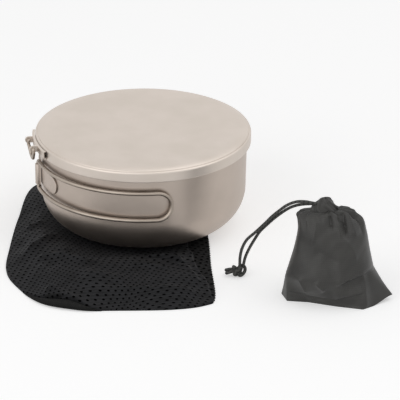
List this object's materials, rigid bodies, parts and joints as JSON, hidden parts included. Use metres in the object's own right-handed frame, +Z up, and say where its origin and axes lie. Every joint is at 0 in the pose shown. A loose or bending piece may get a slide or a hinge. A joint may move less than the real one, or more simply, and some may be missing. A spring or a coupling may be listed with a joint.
{
  "type": "camping cook pot set",
  "caption": "Shallow camping pot with a rounded bottom, folding wire handle and cap lid with a hanging wire loop, standing on its empty mesh stuff sack beside a drawstring pouch",
  "frame": {"origin": "on the floor, below the middle of the pot", "axes": "+Z up; the pot's handle bracket points along -X and the folded handle runs from it towards -Y"},
  "size_m": [0.2769, 0.289, 0.0813],
  "materials": {
    "titanium": "satin, bead-blasted warm grey-beige",
    "mesh_cloth": "black polyester mesh",
    "nylon": "dark grey ripstop nylon",
    "cord": "braided dark grey cord"
  },
  "bodies": {
    "sack": {"mesh_bag": "mesh_cloth", "mesh_bag_hem": "mesh_cloth"},
    "pot": {"pot_body": "titanium", "pot_bracket": "titanium"},
    "handle": {"pot_handle": "titanium"},
    "lid": {"lid": "titanium", "lid_bracket": "titanium"},
    "lid_loop": {"lid_loop": "titanium"},
    "pouch": {"pouch_body": "nylon", "pouch_hem": "nylon", "drawcord_strand_a": "cord", "drawcord_strand_b": "cord", "drawcord_knot": "cord"}
  },
  "joints": [
    {"name": "pot_lift", "type": "slide", "parent": "sack", "child": "pot", "axis": [0, 0, 1], "range_m": [0, 0.15]},
    {"name": "handle_fold", "type": "hinge", "parent": "pot", "child": "handle", "pos_m": [-0.08434, 0, 0.05005], "axis": [0, 0, -1], "range_deg": [0, 135]},
    {"name": "lid_lift", "type": "slide", "parent": "pot", "child": "lid", "axis": [0, 0, 1], "range_m": [0, 0.1]},
    {"name": "lid_loop_swing", "type": "hinge", "parent": "lid", "child": "lid_loop", "pos_m": [-0.0902, 0, 0.07547], "axis": [0, 1, 0], "range_deg": [0, 180]},
    {"name": "pouch_lift", "type": "slide", "parent": "sack", "child": "pouch", "axis": [0, 0, 1], "range_m": [0, 0.15]}
  ]
}
